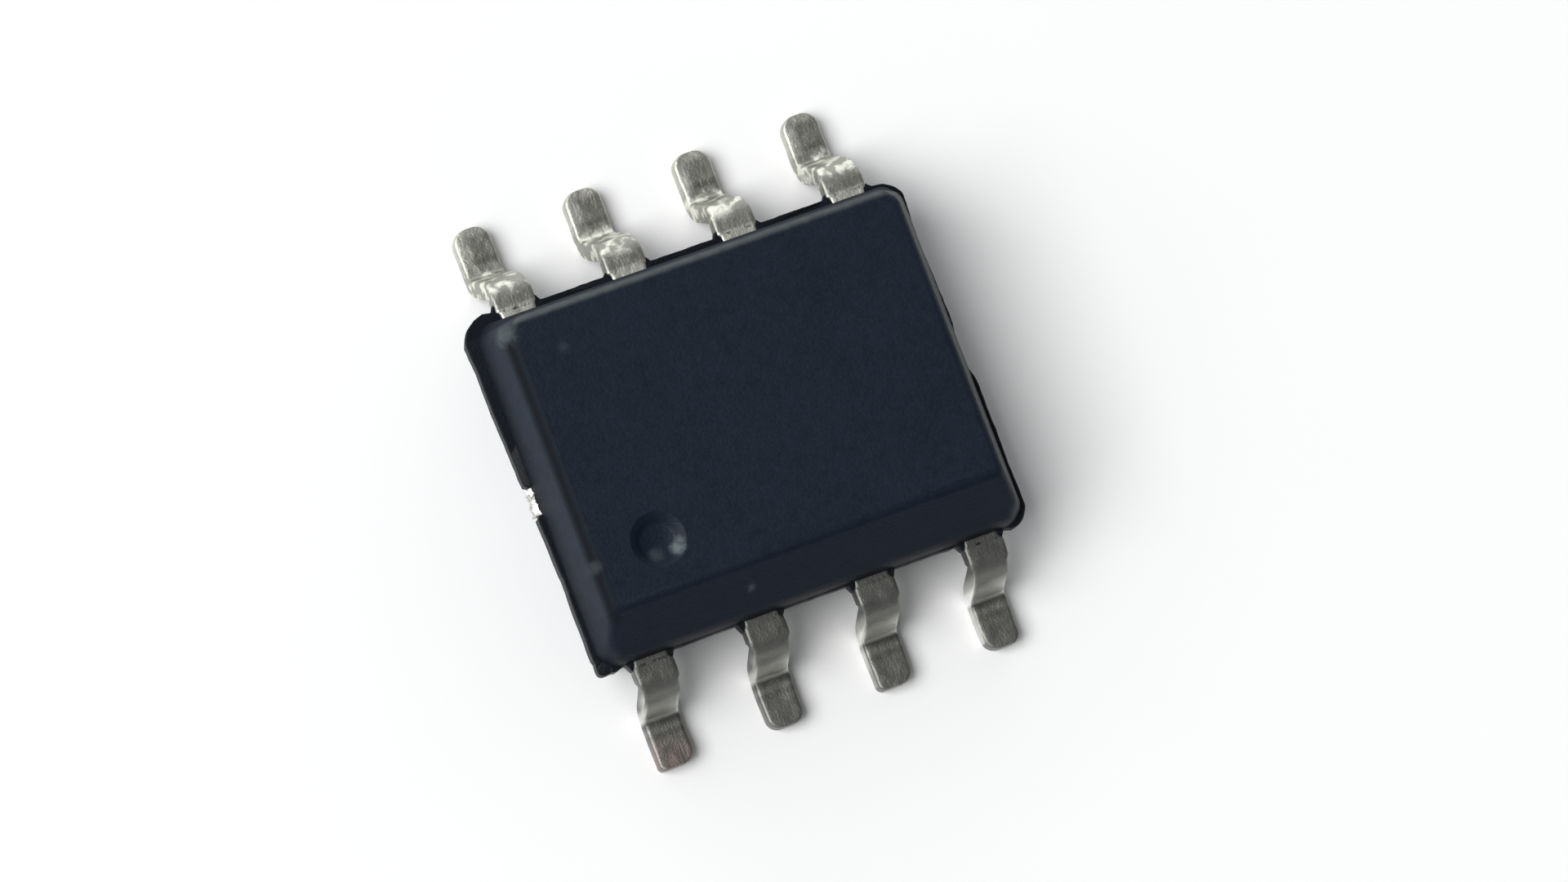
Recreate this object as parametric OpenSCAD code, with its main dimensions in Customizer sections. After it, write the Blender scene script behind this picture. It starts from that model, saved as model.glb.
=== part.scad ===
// Eight-lead small-outline package with gull-wing leads and an exposed thermal pad.
// +X runs along the rows of leads, +Y across them, +Z up. The origin is on the plane that the
// leads stand on, under the middle of the body. Leads 1 to 4 stand on the -Y side, from left to
// right, and leads 5 to 8 come back along the +Y side. Lengths are millimetres.

/* [Body] */
// Length of the moulding along the rows of leads, without flash
body_length = 4.9; // [4.6:0.01:5.1]
// Width of the moulding across the rows of leads, without flash
body_width = 3.9; // [3.6:0.01:4]
// Height of the moulding from its underside to its top face
body_height = 1.47; // [1.35:0.01:1.6]
// Gap under the moulding when the leads stand on a board
standoff = 0.08; // [0.05:0.01:0.15]
// Slope of the upper half's long sides, in degrees from the vertical
draft_side = 10; // [5:1:15]
// Slope of the upper half's end faces, in degrees from the vertical
draft_end = 18; // [5:1:20]
// Slope of the lower half's sides and end faces, in degrees from the vertical
draft_lower = 8; // [5:1:15]
// Width of the 45 degree cut at each corner of the moulding
corner_cut = 0.15; // [0.04:0.01:0.2]
// Radius of the rounding along the edges of the top and bottom faces
edge_round = 0.1; // [0.02:0.01:0.12]
// How far the long 45 degree chamfer beside leads 1 to 4 cuts back into the top face
chamfer = 0.4; // [0.2:0.01:0.45]
// How far the flash at the parting line stands out
flash_out = 0.05; // [0.02:0.005:0.08]
// Length of the gap where flash has broken away round the right-hand tie bar
flash_gap = 0.5; // [0.35:0.01:0.8]

/* [Pin 1 recess] */
// Diameter of the recess at the top face
recess_d = 0.58; // [0.4:0.01:0.8]
// Depth of the recess
recess_depth = 0.1; // [0.05:0.01:0.15]
// Distance from the middle of the recess to the left end of the top face
recess_from_end = 0.73; // [0.5:0.01:1.2]
// Distance from the middle of the recess to the edge of the long chamfer
recess_from_chamfer = 0.55; // [0.42:0.01:1]

/* [Leads] */
// Distance between the middles of neighbouring leads
pitch = 1.27; // [1.15:0.01:1.3]
// Distance from lead tip to lead tip, across the part
span = 6.18; // [5.9:0.01:6.5]
// Width of a lead
lead_width = 0.41; // [0.33:0.01:0.45]
// Thickness of the leads, the paddle and the tie bars
metal = 0.2; // [0.17:0.01:0.22]
// Height of a lead's underside where it leaves the moulding
lead_height = 0.7; // [0.6:0.01:0.75]
// Angle that each bend turns through, in degrees
bend_angle = 75; // [68:1:85]
// Inside radius of both bends
bend_radius = 0.08; // [0.06:0.01:0.12]
// Length of the flat foot, from the end of its bend to the tip
foot_length = 0.49; // [0.4:0.01:0.55]
// Radius of the corners at a lead's tip
tip_radius = 0.12; // [0.04:0.01:0.16]
// How far the cut ends of the dam bar stand out from a lead's sides
dam_out = 0.03; // [0.01:0.005:0.06]
// Length of the cut ends of the dam bar, along the lead
dam_length = 0.2; // [0.1:0.01:0.24]

/* [Inside the moulding] */
// Length of a lead inside the moulding
inner_length = 0.78; // [0.7:0.01:0.8]
// Length of the wide bonding finger at a lead's inner end
finger_length = 0.42; // [0.3:0.01:0.5]
// Width of the bonding finger
finger_width = 0.8; // [0.6:0.01:0.9]
// How far the fingers of the four end leads are shifted towards the middle
finger_shift = 0.2; // [0.1:0.01:0.3]
// Diameter of the hole that locks each finger in the moulding
lock_hole_d = 0.16; // [0.1:0.01:0.2]
// Length of the bare pad on the underside
pad_length = 3.2; // [2.8:0.01:3.3]
// Width of the bare pad on the underside
pad_width = 2.3; // [2:0.01:2.4]
// How far the paddle's locking rim reaches past the bare pad
pad_rim = 0.1; // [0.05:0.01:0.14]
// How far the bare pad stands out below the moulding
pad_proud = 0.02; // [0:0.01:0.04]
// Width of the tie bars
tie_width = 0.3; // [0.2:0.01:0.32]
// How far the left-hand tie bar's cut end stands out past the flash
tie_stub = 0.02; // [0.02:0.01:0.1]
// Length of the die
die_length = 1.7; // [1.45:0.01:2]
// Width of the die
die_width = 1.4; // [1:0.01:1.6]
// Thickness of the die
die_thick = 0.22; // [0.15:0.01:0.25]
// Thickness of the epoxy layer under the die
attach_thick = 0.03; // [0.02:0.01:0.05]
// How far the epoxy layer reaches past the die
attach_rim = 0.08; // [0.04:0.01:0.15]
// Diameter of a bond wire
wire_d = 0.05; // [0.03:0.005:0.06]
// Height of a bond wire's loop above the top of the leads
loop_height = 0.2; // [0.12:0.01:0.25]
// Distance between the balls of neighbouring wires along the die
bond_pitch = 0.4; // [0.3:0.01:0.42]
// Distance from a ball's middle to the edge of the die
bond_inset = 0.11; // [0.08:0.01:0.15]
// Diameter of the ball at a bond wire's die end
ball_d = 0.11; // [0.08:0.01:0.14]
// Thickness of the ball and of the pressed foot at a wire's two ends
bond_thick = 0.03; // [0.02:0.005:0.05]

/* [Hidden] */

// Leads along each side, as many as NODES lists
leads_per_side = 4;

// Facets on each true round, steps on each drawn arc, and the overrun of a cutting shape
round_facets = 48;
arc_steps = 6;
overrun = 1;

// Corners of a bond wire's section, rings along it, and corners of its ball and foot
wire_sides = 8;
wire_rings = 14;
ball_sides = 12;

// Heights
lead_top = lead_height + metal;
body_bottom = standoff;
body_top = standoff + body_height;
pad_bottom = body_bottom - pad_proud;
pad_top = pad_bottom + metal;
attach_top = pad_top + attach_thick;
die_top = attach_top + die_thick;
loop_top = lead_top + loop_height;

// Outline of the moulding at its parting band, at its top and at its bottom
band_length = body_length + 2 * flash_out;
band_width = body_width + 2 * flash_out;
upper_half = body_top - lead_top;
side_inset = upper_half * tan(draft_side);
end_inset = upper_half * tan(draft_end);
chamfer_edge = -body_width / 2 + side_inset + chamfer;

// A lead's path, outwards from the parting band
reach = (span - band_width) / 2;
mid_radius = bend_radius + metal / 2;
leg = (lead_height - 2 * mid_radius * (1 - cos(bend_angle))) / sin(bend_angle);
run = 2 * mid_radius * sin(bend_angle) + leg * cos(bend_angle);
shoulder = reach - foot_length - run;
dam_middle = shoulder + bend_radius - dam_length / 2;

// Places of the leads and of what is bonded to them
lead_row = [for (i = [0 : leads_per_side - 1]) (i - (leads_per_side - 1) / 2) * pitch];
finger_middle = body_width / 2 - inner_length + finger_length / 2;
bond_on_lead = finger_middle - finger_length / 4;

// Points of an arc about c, from angle a to angle b
function arc(c, r, a, b) = [for (i = [0 : arc_steps])
    c + r * [cos(a + (b - a) * i / arc_steps), sin(a + (b - a) * i / arc_steps)]];

// One side of a moulding half, from the parting plane to its rounded face edge: the point at the
// parting plane, then the rounding. Facing is 1 for the upper half and -1 for the lower one.
function half_side(half, side, z_band, z_face, draft, facing) =
    let (inset = abs(z_face - z_band) * tan(draft),
         middle = [half - inset - edge_round * (1 / cos(draft) - tan(draft)),
                   z_face - facing * edge_round])
    [for (p = concat([[half, z_band]], arc(middle, edge_round, facing * draft, facing * 90)))
        [side * p[0], p[1]]];

// Section of one moulding half
function reversed(list) = [for (i = [len(list) - 1 : -1 : 0]) list[i]];
function half_section(width, z_band, z_face, draft, facing) =
    concat(half_side(width / 2, 1, z_band, z_face, draft, facing),
           reversed(half_side(width / 2, -1, z_band, z_face, draft, facing)));

// Extrudes a section drawn in Y and Z along X, or one drawn in X and Z along Y
module along_x(length) {
    translate([-length / 2, 0, 0]) rotate([90, 0, 90]) linear_extrude(length) children();
}
module along_y(length) {
    translate([0, length / 2, 0]) rotate([90, 0, 0]) linear_extrude(length) children();
}

// A moulding half is where its cross section, its long section and its two diagonal sections
// meet. The diagonal ones cut the corners.
module moulding_half(z_band, z_face, side_draft, end_draft, facing) {
    far = body_length + body_width;
    diagonal = far / sqrt(2) - sqrt(2) * corner_cut;
    corner_draft = atan((tan(side_draft) + tan(end_draft)) / sqrt(2));
    intersection() {
        along_x(far) polygon(half_section(body_width, z_band, z_face, side_draft, facing));
        along_y(far) polygon(half_section(body_length, z_band, z_face, end_draft, facing));
        rotate(45)
            along_x(far) polygon(half_section(diagonal, z_band, z_face, corner_draft, facing));
        rotate(-45)
            along_x(far) polygon(half_section(diagonal, z_band, z_face, corner_draft, facing));
    }
}

// The band between the halves, as thick as the metal, with a cut corner at each end
module parting_band() {
    x = band_length / 2;
    y = band_width / 2;
    c = corner_cut;
    difference() {
        translate([0, 0, lead_height])
            linear_extrude(metal)
                polygon([[x, y - c], [x - c, y], [c - x, y], [-x, y - c],
                         [-x, c - y], [c - x, -y], [x - c, -y], [x, c - y]]);
        translate([body_length / 2, -flash_gap / 2, lead_height - overrun])
            cube([flash_out + overrun, flash_gap, metal + 2 * overrun]);
    }
}

// The long chamfer that marks the side of leads 1 to 4
module chamfer_cutter() {
    y = chamfer_edge;
    z = body_top;
    along_x(body_length + overrun)
        polygon([[y + overrun, z + overrun], [y - overrun, z + overrun],
                 [y - overrun, z - overrun]]);
}

// The round recess by lead 1, with sloping walls
module recess_cutter() {
    floor_d = recess_d - 2 * recess_depth;
    x = -body_length / 2 + end_inset + recess_from_end;
    y = chamfer_edge + recess_from_chamfer;
    translate([x, y, body_top - recess_depth])
        cylinder(h = 2 * recess_depth, d1 = floor_d, d2 = 2 * recess_d - floor_d, $fn = round_facets);
}

module moulded_body() {
    color([0.03, 0.035, 0.05])
        difference() {
            union() {
                moulding_half(lead_top, body_top, draft_side, draft_end, 1);
                moulding_half(lead_height, body_bottom, draft_lower, draft_lower, -1);
                parting_band();
            }
            chamfer_cutter();
            recess_cutter();
            for (n = [1 : 2 * leads_per_side]) lead_shape(n);
            for (n = [1 : 2 * leads_per_side]) wire_shape(n);
            pad_shape();
            attach_shape();
            die_shape();
        }
}

// Section of a lead along its length: u runs outwards from the parting band. The top line runs
// from the inner end over the two bends to the tip, and the underside comes back.
function lead_section() =
    let (a = bend_angle,
         inner = -(inner_length + flash_out),
         bend_1 = [shoulder, lead_height - bend_radius],
         bend_2 = [shoulder + run, metal + bend_radius],
         outer = bend_radius + metal)
    concat([[inner, lead_top]],
           arc(bend_1, outer, 90, 90 - a),
           arc(bend_2, bend_radius, 270 - a, 270),
           [[reach, metal], [reach, 0]],
           arc(bend_2, outer, 270, 270 - a),
           arc(bend_1, bend_radius, 90 - a, 90),
           [[inner, lead_height]]);

// Plan of a lead: the strip with its rounded tip, the cut ends of the dam bar and the wide
// bonding finger inside the moulding. Shift moves the finger sideways.
module lead_plan(shift) {
    half = lead_width / 2;
    finger_end = -(inner_length + flash_out);
    neck_end = finger_end + finger_length;
    difference() {
        union() {
            polygon(concat([[neck_end, -half]],
                           arc([reach - tip_radius, tip_radius - half], tip_radius, -90, 0),
                           arc([reach - tip_radius, half - tip_radius], tip_radius, 0, 90),
                           [[neck_end, half]]));
            translate([dam_middle - dam_length / 2, -half - dam_out])
                square([dam_length, lead_width + 2 * dam_out]);
            translate([finger_end, shift - finger_width / 2])
                square([finger_length, finger_width]);
        }
        translate([neck_end - lock_hole_d, shift]) circle(d = lock_hole_d, $fn = round_facets);
    }
}

// A lead drawn outwards along +X from the parting band
module lead_blank(shift) {
    intersection() {
        translate([0, finger_width, 0])
            rotate([90, 0, 0]) linear_extrude(2 * finger_width) polygon(lead_section());
        translate([0, 0, -overrun])
            linear_extrude(lead_top + 2 * overrun) lead_plan(shift);
    }
}

// Lead n in its place: 1 to 4 go out to -Y from left to right, 5 to 8 to +Y from right to left
function on_near_side(n) = n <= leads_per_side;
function lead_index(n) = on_near_side(n) ? n - 1 : 2 * leads_per_side - n;
function lead_x(n) = lead_row[lead_index(n)];
function lead_side(n) = on_near_side(n) ? -1 : 1;
function inward(n) = lead_index(n) == 0 ? 1 : (lead_index(n) == leads_per_side - 1 ? -1 : 0);

module lead_shape(n) {
    translate([lead_x(n), lead_side(n) * band_width / 2, 0])
        rotate(lead_side(n) * 90)
            lead_blank(-lead_side(n) * inward(n) * finger_shift);
}

module lead(n) {
    color([0.62, 0.62, 0.6]) lead_shape(n);
}

// The paddle: the bare pad, the locking rim above it and the two tie bars that rise to the leads'
// level and were cut off outside the moulding
module pad_shape() {
    rim_top = pad_length / 2 + pad_rim;
    rise = lead_height - pad_bottom;
    union() {
        translate([-pad_length / 2, -pad_width / 2, pad_bottom])
            cube([pad_length, pad_width, metal]);
        translate([-rim_top, -pad_width / 2 - pad_rim, pad_bottom + metal / 2])
            cube([2 * rim_top, pad_width + 2 * pad_rim, metal / 2]);
        tie_bar(-1, rim_top, rise, band_length / 2 + tie_stub);
        tie_bar(1, rim_top, rise, body_length / 2);
    }
}

// One tie bar: it leaves the rim, climbs by rise and runs out to end_x
module tie_bar(side, rim_end, rise, end_x) {
    start = rim_end - metal;
    slope_end = body_length / 2 - metal;
    half = metal / 2;
    translate([0, tie_width / 2, 0])
        rotate([90, 0, 0])
            linear_extrude(tie_width)
                polygon([for (p = [[start, pad_bottom + half], [rim_end, pad_bottom + half],
                                   [slope_end, lead_height], [end_x, lead_height],
                                   [end_x, lead_top], [slope_end - half, lead_top],
                                   [rim_end - half, pad_top], [start, pad_top]])
                         [side * p[0], p[1]]]);
}

module thermal_pad() {
    color([0.7, 0.7, 0.68]) pad_shape();
}

module attach_shape() {
    translate([-die_length / 2 - attach_rim, -die_width / 2 - attach_rim, pad_top])
        cube([die_length + 2 * attach_rim, die_width + 2 * attach_rim, attach_thick]);
}

module die_attach() {
    color([0.75, 0.75, 0.72]) attach_shape();
}

module die_shape() {
    translate([-die_length / 2, -die_width / 2, attach_top])
        cube([die_length, die_width, die_thick]);
}

module silicon_die() {
    color([0.25, 0.27, 0.33]) die_shape();
}

// The two ends of wire n: on the die's edge, and on the lead's bonding finger
function wire_on_die(n) =
    [lead_x(n) / pitch * bond_pitch, lead_side(n) * (die_width / 2 - bond_inset)];
function wire_on_lead(n) =
    [lead_x(n) + inward(n) * finger_shift, lead_side(n) * bond_on_lead];

// A point of wire n's loop at share t of its way: a straight run in plan, and in height a cubic
// curve whose two guiding heights lie above the loop, with a steep rise from the die
function loop_point(n, t) =
    let (a = wire_on_die(n),
         b = wire_on_lead(n),
         start = die_top + bond_thick / 2,
         end = lead_top + bond_thick / 2,
         z = start * pow(1 - t, 3) + 3 * (loop_top + loop_height) * t * pow(1 - t, 2)
             + 3 * (loop_top + loop_height / 2) * pow(t, 2) * (1 - t) + end * pow(t, 3))
    [a[0] + (b[0] - a[0]) * t, a[1] + (b[1] - a[1]) * t, z];

// The round wire: a ring of wire_sides points square to the path at each of wire_rings places
function unit(v) = v / norm(v);
function wire_ring(n, t) =
    let (step = 1 / (2 * wire_rings),
         forward = unit(loop_point(n, min(1, t + step)) - loop_point(n, max(0, t - step))),
         across = unit(cross(forward, [0, 0, 1])),
         up = cross(across, forward))
    [for (s = [0 : wire_sides - 1])
        let (turn = 360 * (s + 0.5) / wire_sides)
        loop_point(n, t) + wire_d / 2 * (cos(turn) * across + sin(turn) * up)];

module wire_sweep(n) {
    last = wire_rings * wire_sides;
    polyhedron(
        points = [for (i = [0 : wire_rings]) each wire_ring(n, i / wire_rings)],
        faces = concat(
            [[for (s = [wire_sides - 1 : -1 : 0]) s]],
            [for (i = [0 : wire_rings - 1], s = [0 : wire_sides - 1])
                let (a = i * wire_sides + s,
                     b = i * wire_sides + (s + 1) % wire_sides)
                each [[a, b, a + wire_sides], [b, b + wire_sides, a + wire_sides]]],
            [[for (s = [0 : wire_sides - 1]) last + s]]),
        convexity = 4);
}

// Wire n with its ball on the die and its pressed foot on the lead
module wire_shape(n) {
    a = wire_on_die(n);
    b = wire_on_lead(n);
    union() {
        wire_sweep(n);
        translate([a[0], a[1], die_top]) cylinder(h = bond_thick, d = ball_d, $fn = ball_sides);
        translate([b[0], b[1], lead_top]) cylinder(h = bond_thick, d = ball_d, $fn = ball_sides);
    }
}

module bond_wire(n) {
    color([0.8, 0.45, 0.25]) wire_shape(n);
}

moulded_body();
lead(1);  // lead_1
lead(2);  // lead_2
lead(3);  // lead_3
lead(4);  // lead_4
lead(5);  // lead_5
lead(6);  // lead_6
lead(7);  // lead_7
lead(8);  // lead_8
thermal_pad();
die_attach();
silicon_die();
bond_wire(1);  // bond_wire_1
bond_wire(2);  // bond_wire_2
bond_wire(3);  // bond_wire_3
bond_wire(4);  // bond_wire_4
bond_wire(5);  // bond_wire_5
bond_wire(6);  // bond_wire_6
bond_wire(7);  // bond_wire_7
bond_wire(8);  // bond_wire_8
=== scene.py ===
"""Looks of an eight-lead small-outline package with gull-wing leads and a bare thermal pad.

The moulding, the leads and the paddle are rebuilt as fine meshes at the sizes of the frame, with
the rounded edges, flash and cut marks that such a part has. What lies inside the moulding keeps
its frame solid. Meshes are drawn in millimetres and turned into metres when they are placed.
"""

import math

import bmesh
import bpy
from mathutils import Matrix, Vector, noise


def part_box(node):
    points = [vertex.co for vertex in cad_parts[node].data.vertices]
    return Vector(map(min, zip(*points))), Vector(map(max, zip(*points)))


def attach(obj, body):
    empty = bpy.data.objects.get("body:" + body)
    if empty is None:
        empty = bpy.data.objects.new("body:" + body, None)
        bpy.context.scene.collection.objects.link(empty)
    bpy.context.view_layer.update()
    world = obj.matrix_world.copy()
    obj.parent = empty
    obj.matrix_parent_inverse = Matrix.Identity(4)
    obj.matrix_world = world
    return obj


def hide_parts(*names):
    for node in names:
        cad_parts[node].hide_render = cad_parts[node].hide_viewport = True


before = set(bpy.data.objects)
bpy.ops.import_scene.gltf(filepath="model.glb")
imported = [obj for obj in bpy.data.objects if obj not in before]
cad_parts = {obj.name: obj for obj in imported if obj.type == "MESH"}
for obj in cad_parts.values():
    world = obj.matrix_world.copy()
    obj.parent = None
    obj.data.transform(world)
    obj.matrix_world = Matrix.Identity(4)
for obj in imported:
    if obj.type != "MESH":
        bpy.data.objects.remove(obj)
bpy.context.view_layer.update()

BODY = "root"
MM = 0.001


# ---- Sizes, in millimetres ----

def box_mm(node):
    """Lowest and highest corner of a frame node, in millimetres."""
    low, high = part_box(node)
    return Vector(low) / MM, Vector(high) / MM


band_low, body_high = box_mm("moulded_body")
first_lead_low, first_lead_high = box_mm("lead_1")
pad_low = box_mm("thermal_pad")[0]

# Moulding
flash_out = 0.05
body_length = 2 * (body_high.x - flash_out)
body_width = 2 * (body_high.y - flash_out)
body_bottom = band_low.z
body_top = body_high.z
draft_side = math.radians(10)
draft_end = math.radians(18)
draft_lower = math.radians(8)
corner_cut = 0.15
edge_round = 0.12
chamfer = 0.4
flash_gap = 0.5
band_length = body_length + 2 * flash_out
band_width = body_width + 2 * flash_out

# Recess by lead 1
recess_d = 0.58
recess_depth = 0.1
recess_from_end = 0.73
recess_from_chamfer = 0.55

# Leads
leads_per_side = 4
lead_numbers = range(1, 2 * leads_per_side + 1)
pitch = 1.27
span = -2 * first_lead_low.y
lead_width = 0.41
metal = 0.2
lead_top = first_lead_high.z
lead_height = lead_top - metal
bend_angle = math.radians(75)
bend_radius = 0.08
foot_length = 0.49
tip_radius = 0.12
tip_corners = {1: (0.05, 0.15), 2: (0.13, 0.13), 3: (0.07, 0.15), 4: (0.15, 0.12),
               5: (0.15, 0.15), 6: (0.15, 0.14), 7: (0.14, 0.15), 8: (0.15, 0.15)}
sideways_lean = {1: 0.02, 2: 0.02, 3: 0.01, 4: 0, 5: -0.05, 6: -0.05, 7: -0.05, 8: -0.06}
dam_out = 0.03
dam_length = 0.2
inner_length = 0.78
finger_length = 0.42
finger_width = 0.8
finger_shift = 0.2

# Paddle
pad_length = 3.2
pad_width = 2.3
pad_rim = 0.1
pad_bottom = pad_low.z
pad_top = pad_bottom + metal
tie_width = 0.3
tie_stub = 0.02

# Worked out from the sizes above
straight_x = body_length / 2 - corner_cut
straight_y = body_width / 2 - corner_cut
upper_half = body_top - lead_top
side_inset = upper_half * math.tan(draft_side)
end_inset = upper_half * math.tan(draft_end)
far_line = body_width / 2 - side_inset
end_line = body_length / 2 - end_inset
chamfer_edge = chamfer - far_line
recess_x = -end_line + recess_from_end
recess_y = chamfer_edge + recess_from_chamfer
reach = (span - band_width) / 2
mid_radius = bend_radius + metal / 2
leg = (lead_height - 2 * mid_radius * (1 - math.cos(bend_angle))) / math.sin(bend_angle)
run = 2 * mid_radius * math.sin(bend_angle) + leg * math.cos(bend_angle)
foot_start = reach - foot_length
shoulder = foot_start - run
dam_middle = shoulder + bend_radius - dam_length / 2
inner_end = -(inner_length + flash_out)
finger_end = inner_end + finger_length


# ---- Making meshes ----

def arc(centre, radius, start, end, steps):
    """Points of an arc in a plane, from angle start to angle end."""
    turns = [start + (end - start) * i / steps for i in range(steps + 1)]
    return [(centre[0] + radius * math.cos(t), centre[1] + radius * math.sin(t)) for t in turns]


def ramp(value, low, high):
    """0 at low and below, 1 at high and above, and a straight rise between."""
    return min(1, max(0, (value - low) / (high - low)))


def waver(point, size, seed):
    """Smooth unevenness between -1 and 1, with waves about as long as size."""
    return noise.noise(Vector(point) / size + seed * Vector((7.3, 3.1, 5.7)))


def in_metres(name, shape, material):
    """Turns a mesh drawn in millimetres into an object in metres."""
    bmesh.ops.scale(shape, vec=(MM, MM, MM), verts=shape.verts)
    mesh = bpy.data.meshes.new(name)
    shape.to_mesh(mesh)
    shape.free()
    mesh.materials.append(material)
    made = bpy.data.objects.new(name, mesh)
    bpy.context.scene.collection.objects.link(made)
    return made


def place(name, shape, material, node):
    """Makes a mesh a piece of the part that stands for a frame node. Its top and bottom stay flat."""
    level = 0.999
    sharp = math.radians(32)
    bmesh.ops.recalc_face_normals(shape, faces=shape.faces)
    many_sided = [face for face in shape.faces if len(face.verts) > 4]
    for face in shape.faces:
        face.smooth = len(face.verts) <= 4 or abs(face.normal.z) < level
    bmesh.ops.triangulate(shape, faces=many_sided)
    piece = in_metres(name, shape, material)
    piece.data.set_sharp_from_angle(angle=sharp)
    even = piece.modifiers.new("even_normals", "WEIGHTED_NORMAL")
    even.keep_sharp = True
    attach(piece, BODY)
    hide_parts(node)


def loft(rings):
    """A closed skin through rings that all have the same number of points."""
    shape = bmesh.new()
    loops = [[shape.verts.new(point) for point in ring] for ring in rings]
    for lower, upper in zip(loops, loops[1:]):
        for i in range(len(lower)):
            j = (i + 1) % len(lower)
            shape.faces.new((lower[i], lower[j], upper[j], upper[i]))
    shape.faces.new(list(reversed(loops[0])))
    shape.faces.new(loops[-1])
    return shape


def combine(base, tool, operation):
    """Joins or cuts two closed meshes, and gives the result as a new one."""
    parts = []
    for label, shape in (("base", base), ("tool", tool)):
        bmesh.ops.recalc_face_normals(shape, faces=shape.faces)
        mesh = bpy.data.meshes.new(label)
        shape.to_mesh(mesh)
        shape.free()
        parts.append(bpy.data.objects.new(label, mesh))
        bpy.context.scene.collection.objects.link(parts[-1])
    cut = parts[0].modifiers.new("cut", "BOOLEAN")
    cut.object = parts[1]
    cut.operation = operation
    cut.solver = "EXACT"
    bpy.context.view_layer.update()
    evaluated = parts[0].evaluated_get(bpy.context.evaluated_depsgraph_get())
    result = bmesh.new()
    result.from_mesh(evaluated.to_mesh())
    for part in parts:
        mesh = part.data
        bpy.data.objects.remove(part)
        bpy.data.meshes.remove(mesh)
    return result


# ---- The moulding ----

def octagon(half_x, half_y, cut, z):
    """Outline of the moulding at height z: a rectangle with cut corners, anticlockwise."""
    quarter = [(half_x, half_y - cut), (half_x - cut, half_y)]
    corners = quarter + [(-x, y) for x, y in reversed(quarter)]
    corners += [(-x, -y) for x, y in corners]
    return [(x, y, z) for x, y in corners]


def moulding_half(z_band, z_face, side_draft, end_draft):
    """One drafted half of the moulding, from the parting band to its flat face."""
    height = abs(z_face - z_band)
    inset_x = height * math.tan(end_draft)
    inset_y = height * math.tan(side_draft)
    shape = bmesh.new()
    for ring in (octagon(body_length / 2, body_width / 2, corner_cut, z_band),
                 octagon(body_length / 2 - inset_x, body_width / 2 - inset_y, corner_cut, z_face)):
        for point in ring:
            shape.verts.new(point)
    bmesh.ops.convex_hull(shape, input=shape.verts)
    flat = math.radians(1)
    bmesh.ops.dissolve_limit(shape, angle_limit=flat, verts=shape.verts, edges=shape.edges)
    return shape


def slice_chamfer(shape):
    """Cuts the long chamfer that marks the side of leads 1 to 4."""
    bmesh.ops.bisect_plane(shape, geom=shape.verts[:] + shape.edges[:] + shape.faces[:],
                           dist=1e-5, plane_co=(0, chamfer_edge, body_top),
                           plane_no=(0, -1, 1), clear_outer=True)
    open_edges = [edge for edge in shape.edges if edge.is_boundary]
    bmesh.ops.holes_fill(shape, edges=open_edges, sides=0)


def round_edges(shape, z_band):
    """Rounds every edge that doesn't lie on the parting plane."""
    edges = [edge for edge in shape.edges
             if max(abs(vert.co.z - z_band) for vert in edge.verts) > edge_round]
    bmesh.ops.bevel(shape, geom=edges, offset=edge_round, offset_type="WIDTH", segments=16,
                    profile=0.5, affect="EDGES", clamp_overlap=True)


def lead_middle(number):
    """Where lead n stands along its row, and on which side: -1 for the near row, 1 for the far."""
    near = number <= leads_per_side
    index = number - 1 if near else 2 * leads_per_side - number
    return (index - (leads_per_side - 1) / 2) * pitch, -1 if near else 1


def flash_on_end(x, y, out):
    """Flash of an end face: it fades out where the tie bar was cut, and never quite ends."""
    left = x < 0
    broken = tie_width / 2 + 0.02 if left else flash_gap / 2
    fade = 0.03 if left else 0.13
    thinnest = 0.15
    return out * max(thinnest, ramp(abs(y), broken - fade / 2, broken + fade / 2))


def flash_on_corner(x, y, out):
    """Flash of a cut corner, which it fills: most of all the corner by lead 1."""
    fuller = 0.09 if x < 0 and y < 0 else 0.02
    from_edge = ramp(body_width / 2 - abs(y), 0, corner_cut)
    return out + fuller * math.sin(math.pi * from_edge)


def flash_on_side(x, y, out):
    """Flash of a long side: webs rise beside each lead, and none is left across the lead."""
    under_lead = 0.02
    web_middle = 0.02
    web_half = 0.045
    web_out = 0.08
    web_uneven = 0.05
    if y < 0:
        out -= 0.03 * ramp(straight_x - abs(x), 0, 0.1)
    for number in lead_numbers:
        middle, side = lead_middle(number)
        beside = abs(x - middle) - lead_width / 2
        if side * y < 0:
            continue
        if beside <= -under_lead:
            return -under_lead
        web = web_out + web_uneven * waver((x, y, number), 0.3, 5)
        out += web * max(0, 1 - abs(beside - web_middle) / web_half)
    return out


def flash_reach(x, y):
    """How far the flash stands out of the moulding at a place on its outline."""
    near_corner = 0.3
    thin = 0.008
    out = flash_out - thin + 0.012 * waver((x, y, 0), 0.35, 1) + 0.005 * waver((x, y, 0), 0.09, 2)
    by_end = ramp(abs(x), straight_x - near_corner, straight_x)
    by_far_side = ramp(y, straight_y - near_corner, straight_y)
    towards_far = ramp(y, -0.6, 1)
    out += by_end * towards_far * (0.06 if x < 0 else -0.035) + 0.02 * by_far_side
    if abs(y) < straight_y:
        return flash_on_end(x, y, out)
    if abs(x) > straight_x:
        return flash_on_corner(x, y, out)
    return flash_on_side(x, y, out)


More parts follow.
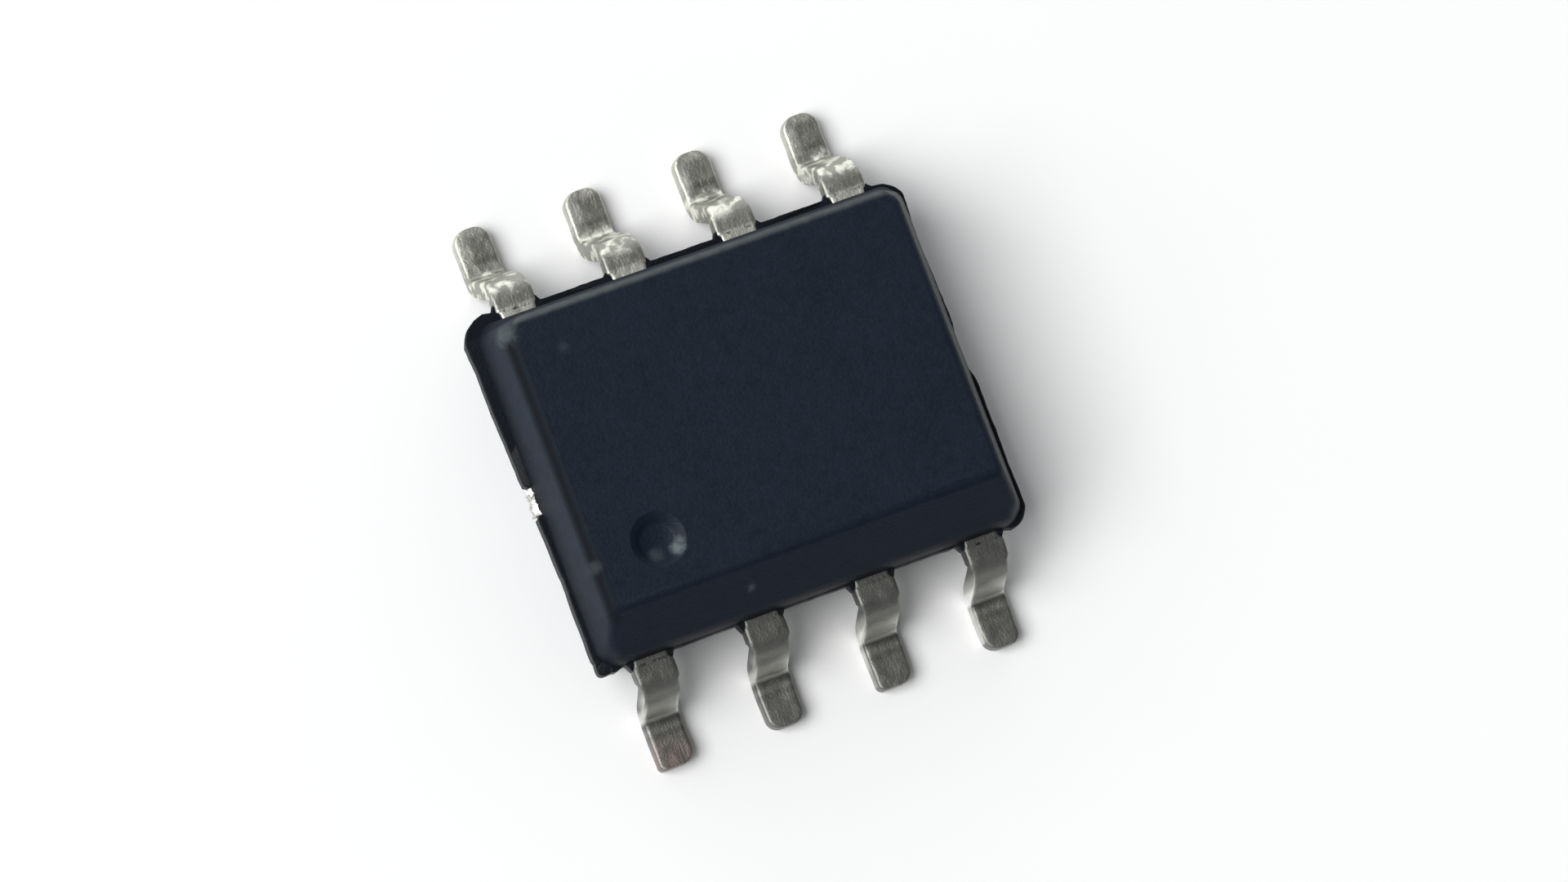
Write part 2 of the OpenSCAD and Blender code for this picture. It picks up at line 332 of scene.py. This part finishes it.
def parting_band():
    """The band between the halves, with uneven flash that creeps out along the leads' sides."""
    spacing = 0.015
    lip = 0.012
    web_above = flash_out + 0.015
    web_sunk = 0.025
    rings = [[], [], [], []]
    corners = [Vector(point) for point in octagon(body_length / 2, body_width / 2, corner_cut, 0)]
    for start, end in zip(corners, corners[1:] + corners[:1]):
        steps = max(2, round((end - start).length / spacing))
        outward = (end - start).cross(Vector((0, 0, 1))).normalized()
        outward *= math.copysign(1, outward.dot(start))
        for i in range(steps):
            point = start.lerp(end, i / steps)
            out = flash_reach(point.x, point.y)
            top = lead_top - (web_sunk if out > web_above else 0)
            levels = ((lead_height, lip), (lead_height + lip, 0), (top - lip, 0), (top, lip))
            for ring, (z, inset) in zip(rings, levels):
                ring.append(point + outward * (out - inset) + Vector((0, 0, z)))
    return loft(rings)


def recess_cutter():
    """What the recess by lead 1 takes away: sloping wall, rounded lip and rounded floor edge."""
    round_steps = 96
    soften = 0.02
    floor_radius = recess_d / 2 - recess_depth
    floor = body_top - recess_depth
    profile = [(floor_radius - 0.6 * soften, floor),
               (floor_radius, floor + 0.25 * soften),
               (floor_radius + soften, floor + soften),
               (recess_d / 2 - 0.5 * soften, body_top - 0.6 * soften),
               (recess_d / 2 + 0.5 * soften, body_top - 0.1 * soften),
               (recess_d / 2 + 1.5 * soften, body_top + soften)]
    rings = []
    for radius, z in profile:
        circle = arc((recess_x, recess_y), radius, 0, math.tau, round_steps)[:-1]
        rings.append([(x, y, z) for x, y in circle])
    return loft(rings)


def moulding():
    """The whole moulding: two halves, the parting band, the chamfer and the recess."""
    upper = moulding_half(lead_top, body_top, draft_side, draft_end)
    slice_chamfer(upper)
    round_edges(upper, lead_top)
    lower = moulding_half(lead_height, body_bottom, draft_lower, draft_lower)
    round_edges(lower, lead_height)
    shape = combine(upper, parting_band(), "UNION")
    shape = combine(shape, lower, "UNION")
    return combine(shape, recess_cutter(), "DIFFERENCE")


# ---- The leads ----

def lead_line():
    """A lead's middle line outwards from its inner end: (u, z, heading), heading in radians."""
    mid = lead_height + metal / 2
    bend_steps = 12
    leg_steps = 10
    foot_steps = 14
    tip_steps = 10
    stub_start = dam_middle - dam_length / 2
    # Known flaw: the stub's stations begin a little before the 0.03 ahead of them, so the strip
    # folds back on itself there by about 0.03 mm.
    stations = [inner_end, finger_end - 0.01, finger_end, -0.3, -0.2, -0.1, -0.05, 0, 0.03]
    stations += [stub_start + past for past in (-0.015, 0, 0.015, 0.03)]
    stations += [0.08, 0.1, 0.12]
    line = [(u, mid, 0) for u in stations if u < shoulder - 0.01]
    first = arc((shoulder, lead_height - bend_radius), mid_radius,
                math.pi / 2, math.pi / 2 - bend_angle, bend_steps)
    second = arc((foot_start, metal + bend_radius), mid_radius,
                 1.5 * math.pi - bend_angle, 1.5 * math.pi, bend_steps)
    line += [(u, z, -bend_angle * i / bend_steps) for i, (u, z) in enumerate(first)]
    for i in range(1, leg_steps):
        u, z = Vector(first[-1]).lerp(Vector(second[0]), i / leg_steps)
        line.append((u, z, -bend_angle))
    line += [(u, z, -bend_angle * (1 - i / bend_steps)) for i, (u, z) in enumerate(second)]
    tip_start = reach - tip_radius
    for i in range(1, foot_steps + 1):
        line.append((foot_start + (tip_start - foot_start) * i / foot_steps, metal / 2, 0))
    for i in range(1, tip_steps + 1):
        line.append((tip_start + tip_radius * math.sin(math.pi / 2 * i / tip_steps), metal / 2, 0))
    return line


def tip_loss(u, radius):
    """How much the rounded tip takes off one side of a lead at u."""
    past = u - (reach - radius)
    return radius - math.sqrt(max(0, radius ** 2 - past ** 2)) if past > 0 else 0


def lead_halves(u, shift, number):
    """How far a lead reaches to its left and right at u, as seen from its tip."""
    if u < finger_end - 0.005:
        return finger_width / 2 - shift, finger_width / 2 + shift
    uneven = 0.008 if u > 0.05 else 0
    stub_slope = 0.03
    from_dam = abs(u - dam_middle) - dam_length / 2
    stub = dam_out * (1 - ramp(from_dam, -stub_slope / 2, stub_slope / 2))
    sides = []
    for side, (radius, stub_share) in enumerate(zip(tip_corners[number], (0.6, 1))):
        wide = lead_width / 2 - tip_loss(u, radius) + stub * stub_share
        sides.append(wide + uneven * waver((u, 3 * side, 0), 0.25, number))
    return sides


def lead_section(left, right, shrink):
    """Section of the strip across its length: rolled upper edges, sharper lower ones."""
    rolled = 0.035
    sheared = 0.012
    across_steps = 14
    half = metal / 2 - shrink
    left -= shrink
    right -= shrink
    points = arc((right - rolled, half - rolled), rolled, 0, math.pi / 2, 4)
    for i in range(1, across_steps):
        share = i / across_steps
        points.append(((right - rolled) * (1 - share) + (rolled - left) * share, half))
    points += arc((rolled - left, half - rolled), rolled, math.pi / 2, math.pi, 4)
    points += arc((sheared - left, sheared - half), sheared, math.pi, 1.5 * math.pi, 2)
    points += arc((right - sheared, sheared - half), sheared, -math.pi / 2, 0, 2)
    return points


def lead(number):
    """Lead n in its place: 1 to 4 go out to -Y from left to right, 5 to 8 come back along +Y."""
    middle, side = lead_middle(number)
    at_end = abs(middle) > (leads_per_side - 2) / 2 * pitch
    shift = side * math.copysign(finger_shift, middle) if at_end else 0
    tip_chamfer = 0.012
    line = lead_line()
    rings = []
    for u, z, heading in line:
        left, right = lead_halves(u, shift, number)
        lean = sideways_lean[number] * max(0, lead_height + metal / 2 - z) / lead_height
        outside = ramp(u, 0.02, 0.12)
        ring = []
        for across, up in lead_section(left, right, tip_chamfer if u == line[-1][0] else 0):
            if up > 0:
                up += outside * 0.005 * waver((u + z, across, 0), 0.13, number + 20)
                up += outside * 0.002 * waver((u + z, across, 0), 0.05, number + 40)
            along = u - up * math.sin(heading)
            height = z + up * math.cos(heading)
            ring.append((middle - side * across + lean, side * (band_width / 2 + along), height))
        rings.append(ring)
    return loft(rings)


# ---- The paddle ----

def block(low, high):
    """A plain closed box to join into a larger shape."""
    shape = bmesh.new()
    bmesh.ops.create_cube(shape, size=1)
    size = Vector(high) - Vector(low)
    bmesh.ops.scale(shape, vec=size, verts=shape.verts)
    bmesh.ops.translate(shape, vec=(Vector(high) + Vector(low)) / 2, verts=shape.verts)
    return shape


def tie_bar(side, end_x, torn):
    """One tie bar: it leaves the paddle's rim, climbs to the leads' level and runs out to end_x."""
    half = metal / 2
    rollover = 0.085
    pulled_in = 0.2
    torn_upwards = 0.6
    steps = 16
    rim_end = pad_length / 2 + pad_rim
    slope_end = body_length / 2 - metal
    start = rim_end - metal
    outline = [(start, pad_bottom + half), (rim_end, pad_bottom + half), (slope_end, lead_height)]
    outline += [(end_x, lead_height + (metal - rollover) * i / steps) for i in range(steps)]
    outline += arc((end_x - rollover, lead_top - rollover), rollover, 0, math.pi / 2, steps)
    outline += [(slope_end - half, lead_top), (rim_end - half, pad_top), (start, pad_top)]
    rings = []
    for i in range(steps + 1):
        y = tie_width * (i / steps - 0.5)
        ring = []
        for x, z in outline:
            if x > end_x - rollover - 1e-6:
                x += torn * (waver((x, y, z), 0.09, 3) - pulled_in)
                z += torn * torn_upwards * waver((x, y, z), 0.05, 4)
            ring.append((side * x, y, z))
        rings.append(ring)
    return loft(rings)


def paddle():
    """The bare pad, its locking rim and the two tie bars, as one piece of metal."""
    tear = 0.03
    half_x = pad_length / 2
    half_y = pad_width / 2
    pad = block((-half_x, -half_y, pad_bottom), (half_x, half_y, pad_top))
    rim = block((-half_x - pad_rim, -half_y - pad_rim, pad_bottom + metal / 2),
                (half_x + pad_rim, half_y + pad_rim, pad_top))
    shape = combine(pad, rim, "UNION")
    shape = combine(shape, tie_bar(-1, band_length / 2 + tie_stub, tear), "UNION")
    return combine(shape, tie_bar(1, body_length / 2, 0), "UNION")


# ---- Shader values ----

class Value:
    """A socket of a node tree, with arithmetic that adds Math nodes."""

    def __init__(self, nodes, socket):
        self.nodes = nodes
        self.socket = socket

    def maths(self, operation, *inputs):
        return self.nodes.node("ShaderNodeMath", {"operation": operation},
                               dict(enumerate(inputs)))

    def __add__(self, other):
        return self.maths("ADD", self, other)

    def __radd__(self, other):
        return self.maths("ADD", other, self)

    def __sub__(self, other):
        return self.maths("SUBTRACT", self, other)

    def __rsub__(self, other):
        return self.maths("SUBTRACT", other, self)

    def __mul__(self, other):
        return self.maths("MULTIPLY", self, other)

    def __rmul__(self, other):
        return self.maths("MULTIPLY", other, self)

    def __abs__(self):
        return self.maths("ABSOLUTE", self)

    def fraction(self):
        """What is left of a value when its whole number is taken away."""
        return self.maths("FRACT", self)

    def larger(self, other):
        """The larger of two values."""
        return self.maths("MAXIMUM", self, other)

    def above(self, low, high):
        """0 below low, 1 above high, and a smooth rise between."""
        return self.nodes.node("ShaderNodeMapRange", {"interpolation_type": "SMOOTHSTEP"},
                               {"Value": self, "From Min": low, "From Max": high})

    def below(self, low, high):
        """1 below low, 0 above high, and a smooth fall between."""
        return 1 - self.above(low, high)

    def between(self, low, full, fading, high):
        """1 from full to fading, and a smooth end on both sides: 0 below low and above high."""
        return self.above(low, full) * self.below(fading, high)


class Nodes:
    """The nodes of a material or of the surroundings."""

    def __init__(self, owner):
        owner.use_nodes = True
        self.owner = owner
        self.tree = owner.node_tree
        self.tree.nodes.clear()

    def node(self, kind, settings=None, inputs=None, output=0):
        """Adds a node: its settings first, then the values or links of its sockets."""
        made = self.tree.nodes.new(kind)
        for name, value in (settings or {}).items():
            setattr(made, name, value)
        for name, value in (inputs or {}).items():
            if isinstance(value, Value):
                self.tree.links.new(value.socket, made.inputs[name])
            else:
                made.inputs[name].default_value = value
        return Value(self, made.outputs[output]) if made.outputs else None

    def where(self):
        """Where a point lies in the part, in millimetres."""
        point = self.node("ShaderNodeTexCoord", output="Object")
        return self.node("ShaderNodeVectorMath", {"operation": "SCALE"},
                         {0: point, "Scale": 1 / MM})

    def axis(self, vector, name):
        """One number of a vector: X, Y or Z."""
        return self.node("ShaderNodeSeparateXYZ", inputs={0: vector}, output=name)

    def stretch(self, vector, scale):
        """A vector made longer or shorter along each axis."""
        return self.node("ShaderNodeVectorMath", {"operation": "MULTIPLY"}, {0: vector, 1: scale})

    def distance(self, where, x, y):
        """How far a point lies from (x, y) as seen from above, in millimetres."""
        return self.node("ShaderNodeVectorMath", {"operation": "DISTANCE"},
                         {0: self.stretch(where, (1, 1, 0)), 1: (x, y, 0)}, output="Value")

    def grain(self, where, size, detail=3.0, roughness=0.55):
        """Noise from 0 to 1 with waves about as long as size, in millimetres."""
        return self.node("ShaderNodeTexNoise",
                         inputs={"Vector": where, "Scale": 1 / size, "Detail": detail,
                                 "Roughness": roughness})

    def blend(self, share, first, second):
        """A colour between two colours."""
        return self.node("ShaderNodeMix", {"data_type": "RGBA"},
                         {0: share, 6: first, 7: second}, output=2)

    def grey(self, level, tint):
        """A level as a colour, with a share of it for red, green and blue."""
        shares = {i: level * share for i, share in enumerate(tint)}
        return self.node("ShaderNodeCombineColor", inputs=shares)

    def bump(self, height):
        """A surface normal from a height in millimetres."""
        return self.node("ShaderNodeBump", inputs={"Height": height, "Distance": MM})

    def surface(self, inputs):
        """Ends a material in one Principled shader, and gives the material."""
        shader = self.node("ShaderNodeBsdfPrincipled", inputs=inputs)
        self.node("ShaderNodeOutputMaterial", inputs={"Surface": shader})
        return self.owner


def new_finish(name):
    """The empty node tree of a new material, and where its points lie in the part."""
    finish = Nodes(bpy.data.materials.new(name))
    return finish, finish.where()


def rgb(red, green, blue):
    """A colour given as it shows, 0 to 255, turned into linear light."""
    def linear(part):
        part /= 255
        return part / 12.92 if part <= 0.04045 else ((part + 0.055) / 1.055) ** 2.4
    return linear(red), linear(green), linear(blue), 1.0


# ---- Finishes ----

# Pale spots on the moulding: middle, radius and strength. The three in the recess and the one at the
# far-left corner are painted highlights; the others are a speck, a nick and a smear.
scuffs_and_glints = [((-1.34, -1.03), 0.11, 0.9), ((-1.29, -0.96), 0.08, 0.6), ((-1.57, -1.03), 0.12, 0.25),
          ((-0.712, -1.676), 0.07, 0.35), ((-2.235, -0.936), 0.1, 0.2),
          ((-2.24, 1.7), 0.17, 0.4), ((-1.726, 1.363), 0.1, 0.12)]


def ragged_spot(finish, where, middle, radius, ragged):
    """A spot with a ragged outline that fades out: 1 in its middle and 0 past its radius."""
    unevenness = 0.9 * radius
    return (finish.distance(where, *middle) + (ragged - 0.5) * unevenness).below(0, radius)


def moulding_compound():
    """Dark blue-black epoxy with a fine moulded grain; painted shade by the band, on the chamfer and
    left edge, painted highlights on the far edge and recess.
    """
    finish, where = new_finish("moulding_compound")
    x, y, z = (finish.axis(where, name) for name in "XYZ")
    fine = finish.grain(where, 0.035, detail=4.0, roughness=0.6)
    broad = finish.grain(where, 0.7, detail=2.0)
    ragged = finish.grain(where, 0.06)
    mottle = finish.grain(where, 0.14)
    tone = (fine - 0.5) + (broad - 0.5) * 0.6 + (mottle - 0.5) * 0.9 + 0.5
    colour = finish.blend(tone, rgb(14, 24, 36), rgb(27, 37, 50))

    # Painted shade: the parting band and the walls just above and below it are darkened nearly to
    # black.
    shade_by_band = z.between(lead_height - 0.2, lead_height, lead_top + 0.02, lead_top + 0.3)
    # Painted shade: the chamfer is made darker and bluer than the top face.
    chamfer_shade = y.below(chamfer_edge - 0.03, chamfer_edge + 0.03) * z.below(body_top - 0.01, body_top)
    colour = finish.blend(chamfer_shade * (1 - shade_by_band) * 0.5, colour, rgb(8, 17, 34))
    # Painted shade: the rounded top edge of the left end is darkened nearly to black.
    left_edge_shade = x.below(-end_line - 0.03, 0.12 - end_line) * z.above(body_top - 0.2, body_top - 0.05)
    colour = finish.blend((shade_by_band * 0.68).larger(left_edge_shade * 0.8), colour, rgb(5, 6, 8))

    # Painted highlight: a pale grey band along the rounded far top edge, patchy with the mottle.
    far_edge_highlight = y.above(far_line - 0.1, far_line - 0.03) * z.above(body_top - 0.06, body_top - 0.01)
    colour = finish.blend(far_edge_highlight * (0.5 + mottle), colour, rgb(76, 82, 83))
    # Painted highlights in the recess and at the far-left corner, together with real pale marks, all
    # lightened towards a pale grey.
    lightened = 0
    for middle, radius, strength in scuffs_and_glints:
        lightened = (ragged_spot(finish, where, middle, radius, ragged) * strength).larger(lightened)
    lightened = lightened * z.above(body_top - 0.35, body_top - 0.2)
    colour = finish.blend(lightened, colour, rgb(100, 110, 111))

    far_wall = y.above(far_line - 0.02, far_line + 0.02) * z.below(body_top - 0.08, body_top - 0.02)
    in_recess = finish.distance(where, recess_x, recess_y).below(recess_d / 2 - 0.02, recess_d / 2)
    roughness = 0.46 + (fine - 0.5) * 0.2 - in_recess * 0.1 + left_edge_shade.larger(far_wall) * 0.4
    height = fine * 0.006 + finish.grain(where, 0.012, detail=2.0) * 0.003
    return finish.surface({"Base Color": colour, "Roughness": roughness,
                           "Normal": finish.bump(height), "Specular IOR Level": 0.15,
                           "Specular Tint": (1.0, 0.97, 0.93, 1.0)})


def near_row_shine(out):
    """How bright leads 1 to 4 are: painted reflection on the bend and lower leg, and bands of painted
    shade and highlight where the leg turns into the foot.
    """
    past_leg = out - foot_start
    # Painted reflection on the bend and lower leg; painted shade in the crease and the hollow; painted
    # highlight on the ridge.
    bend = past_leg.between(-0.5, -0.35, -0.27, -0.2)
    lightened = past_leg.between(-0.22, -0.12, -0.08, -0.02)
    crease = past_leg.between(-0.07, -0.03, -0.01, 0.03)
    ridge = past_leg.between(0.01, 0.05, 0.06, 0.1)
    hollow = past_leg.between(0.08, 0.12, 0.13, 0.19)
    foot = past_leg.above(0.02, 0.1)
    return (0.16 + bend * 0.05 + lightened * 0.5 + foot * 0.05 + ridge * 0.05
            - crease * 0.04 - hollow * 0.04)


def far_row_shine(out, across, patches, stains):
    """How bright leads 5 to 8 are: painted reflection on the root, patchy painted highlights on the
    leg, a painted highlight on the foot's rim and painted shade across the foot.
    """
    past_leg = out - foot_start
    # Painted reflection on the root, patchy painted highlights on the leg, a painted highlight along
    # the foot's rim, and painted shade in a band across the foot by the leg.
    root = out.below(0.02, 0.07)
    lightened = past_leg.between(-0.48, -0.32, -0.04, 0.08)
    foot = past_leg.above(0.02, 0.1)
    rim = across.above(0.08, 0.17).larger(out.above(reach - 0.14, reach - 0.05))
    groove = past_leg.between(0.06, 0.1, 0.11, 0.17)
    return (0.3 + root * 0.3 + lightened * (0.06 + patches.above(0.45, 0.62) * 0.5)
            + (rim * 0.24 - 0.02 - groove * 0.09) * foot * (0.5 + stains))


def lead_tin():
    """Dull tin over copper, with painted reflections and highlights on the bends, the far row painted
    lighter and patchy, and painted shade in the creases.
    """
    finish, where = new_finish("tinned_lead")
    x, y = (finish.axis(where, name) for name in "XY")
    stains = finish.grain(where, 0.22, detail=4.0, roughness=0.6)
    patches = finish.grain(where, 0.14, detail=2.0, roughness=0.5)
    drawn = finish.grain(finish.stretch(where, (1.0, 0.08, 1.0)), 0.02)
    fine = finish.grain(where, 0.025, detail=4.0)

    out = abs(y) - band_width / 2
    far_row = y.above(-0.1, 0.1)
    near_row = 1 - far_row
    from_middle = ((x * (1 / pitch)).fraction() - 0.5) * pitch
    near_shine = near_row_shine(out)
    far_shine = far_row_shine(out, abs(from_middle), patches, stains)
    # The far row is painted lighter than the near row: lit and shaded copies of the same tin.
    shine = near_shine * near_row + far_shine * far_row
    shine = shine * (0.65 + stains * 0.35 + drawn * 0.1 + fine * 0.25)
    # Painted light: the left side walls of leads 1 to 4 are made paler.
    lit_left_wall = from_middle.below(-0.2, -0.19) * near_row * out.above(0.25, 0.4)
    shine = shine + lit_left_wall * 0.45

    coppery = x.below(-1.5, -1.3) * out.above(0.7, 0.95) * near_row * stains.above(0.25, 0.7)
    colour = finish.blend(coppery * 0.3, finish.grey(shine, (1, 1, 0.93 - far_row * 0.04)),
                          rgb(176, 134, 124))
    roughness = 0.36 + stains * 0.16 + fine * 0.08
    height = drawn * 0.002 + fine * 0.004 + stains * 0.006 + far_row * patches * 0.01
    return finish.surface({"Base Color": colour, "Roughness": roughness, "Metallic": 1.0,
                           "Normal": finish.bump(height)})


def paddle_tin():
    """Tin on the bare pad, bright torn metal at the cut end of the tie bar."""
    finish, where = new_finish("tinned_paddle")
    drawn = finish.grain(finish.stretch(where, (0.08, 1.0, 1.0)), 0.02)
    stains = finish.grain(where, 0.22, detail=4.0, roughness=0.6)
    ragged = finish.grain(where, 0.05)
    tone = stains * 0.6 + drawn * 0.4
    tin = finish.blend(tone.above(0.3, 0.7), rgb(158, 158, 150), rgb(206, 206, 202))
    bright = finish.blend(ragged.above(0.35, 0.6), rgb(120, 120, 112), rgb(240, 240, 236))
    torn = abs(finish.axis(where, "X")).above(body_length / 2 - 0.02, body_length / 2)
    return finish.surface({"Base Color": finish.blend(torn, tin, bright),
                           "Roughness": 0.3 + stains * 0.2, "Metallic": 1.0,
                           "Normal": finish.bump(drawn * 0.002 + stains * 0.006)})


def die_epoxy():
    """Silver-filled epoxy."""
    finish, where = new_finish("die_epoxy")
    flakes = finish.grain(where, 0.02)
    colour = finish.blend(flakes, rgb(150, 150, 145), rgb(205, 205, 200))
    return finish.surface({"Base Color": colour, "Roughness": 0.45 + flakes * 0.2,
                           "Metallic": 0.6})


def silicon():
    """A die's polished dark silicon, with cells about a tenth of a millimetre wide."""
    finish, where = new_finish("silicon")
    cells = finish.node("ShaderNodeTexVoronoi", {"distance": "CHEBYCHEV"},
                        {"Vector": where, "Scale": 9.0})
    colour = finish.blend(cells, rgb(70, 78, 98), rgb(112, 118, 132))
    return finish.surface({"Base Color": colour, "Roughness": 0.12 + cells * 0.1,
                           "Metallic": 0.7})


def bond_copper():
    """Drawn copper wire."""
    finish, where = new_finish("bond_copper")
    drawn = finish.grain(where, 0.01, detail=2.0)
    colour = finish.blend(drawn, rgb(190, 112, 78), rgb(222, 150, 112))
    return finish.surface({"Base Color": colour, "Roughness": 0.22 + drawn * 0.12,
                           "Metallic": 1.0})


def floor_finish():
    """Plain pale paper."""
    finish, where = new_finish("paper_floor")
    fibres = finish.grain(where, 4.0, detail=2.0)
    colour = finish.blend(fibres, rgb(249, 249, 249), rgb(252, 252, 252))
    return finish.surface({"Base Color": colour, "Roughness": 0.9, "Specular IOR Level": 0.1})


# ---- Pieces ----

row_tin = lead_tin()
place("moulding", moulding(), moulding_compound(), "moulded_body")
for n in lead_numbers:
    place(f"gull_wing_lead_{n}", lead(n), row_tin, f"lead_{n}")
place("paddle", paddle(), paddle_tin(), "thermal_pad")

copper = bond_copper()
inner_finishes = {"die_attach": die_epoxy(), "silicon_die": silicon()}
inner_finishes |= {f"bond_wire_{n}": copper for n in lead_numbers}
for node, material in inner_finishes.items():
    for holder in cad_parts[node].material_slots:
        holder.material = material


# ---- Floor, light and camera ----

def make_floor():
    """A wide sheet just under the leads' soles."""
    half_width = 600
    under = 0.002
    sheet = bmesh.new()
    bmesh.ops.create_grid(sheet, x_segments=4, y_segments=4, size=half_width)
    bmesh.ops.translate(sheet, vec=(0, 0, -under), verts=sheet.verts)
    in_metres("floor", sheet, floor_finish())


def make_sky():
    """Soft studio surroundings: pale low down on the far side, dim overhead and behind the viewer."""
    overhead = 0.13
    near_level = 0.22
    far_level = 1.43
    coolness = (0.97, 0.99, 1)
    world = bpy.data.worlds.new("studio")
    bpy.context.scene.world = world
    sky = Nodes(world)
    direction = sky.node("ShaderNodeTexCoord", output="Generated")
    x, y, z = (sky.axis(direction, name) for name in "XYZ")
    low_down = z.below(0.2, 0.85)
    beyond = (y - x * 0.6).above(-0.6, 0.9)
    level = overhead + low_down * (near_level + beyond * (far_level - near_level))
    background = sky.node("ShaderNodeBackground", inputs={"Color": sky.grey(level, coolness)})
    sky.node("ShaderNodeOutputWorld", inputs={"Surface": background})


def way_to(azimuth, elevation):
    """The direction from the part to a lamp or a camera. Azimuth 0 is over +Y and 90 over -X."""
    turn = math.radians(azimuth)
    rise = math.radians(elevation)
    return Vector((-math.sin(turn) * math.cos(rise), math.cos(turn) * math.cos(rise),
                   math.sin(rise)))


def make_lamp(name, away, distance, size, radiance):
    """A soft square lamp that looks at the part."""
    data = bpy.data.lights.new(name, "AREA")
    data.shape = "SQUARE"
    data.size = size
    data.energy = radiance * math.pi * size ** 2
    lamp = bpy.data.objects.new(name, data)
    lamp.location = away * distance
    lamp.rotation_euler = away.to_track_quat("Z", "Y").to_euler()
    bpy.context.scene.collection.objects.link(lamp)


def make_camera():
    """Looks down on the part, leaning a little to the left and to the near side."""
    target = Vector((0, 0, lead_height + metal / 2)) * MM
    away = way_to(116.521, 75.912)
    distance = 0.08
    roll = math.radians(-20.983)
    right = Vector((0, 1, 0)).cross(away).normalized()
    upright = Matrix((right, away.cross(right), away)).transposed().to_4x4()
    data = bpy.data.cameras.new("camera")
    data.lens = 172.83
    data.sensor_width = 36
    data.shift_x = 0.02236
    data.shift_y = -0.00929
    data.clip_start = 0.005
    data.clip_end = 5
    camera = bpy.data.objects.new("camera", data)
    turned = Matrix.Rotation(roll, 4, away) @ upright
    camera.matrix_world = Matrix.Translation(target + away * distance) @ turned
    bpy.context.scene.collection.objects.link(camera)
    bpy.context.scene.camera = camera


make_floor()
make_sky()
make_lamp("left_softbox", way_to(82, 52), distance=0.45, size=0.32, radiance=6.4)
make_camera()
bpy.context.scene.view_settings.view_transform = "Standard"
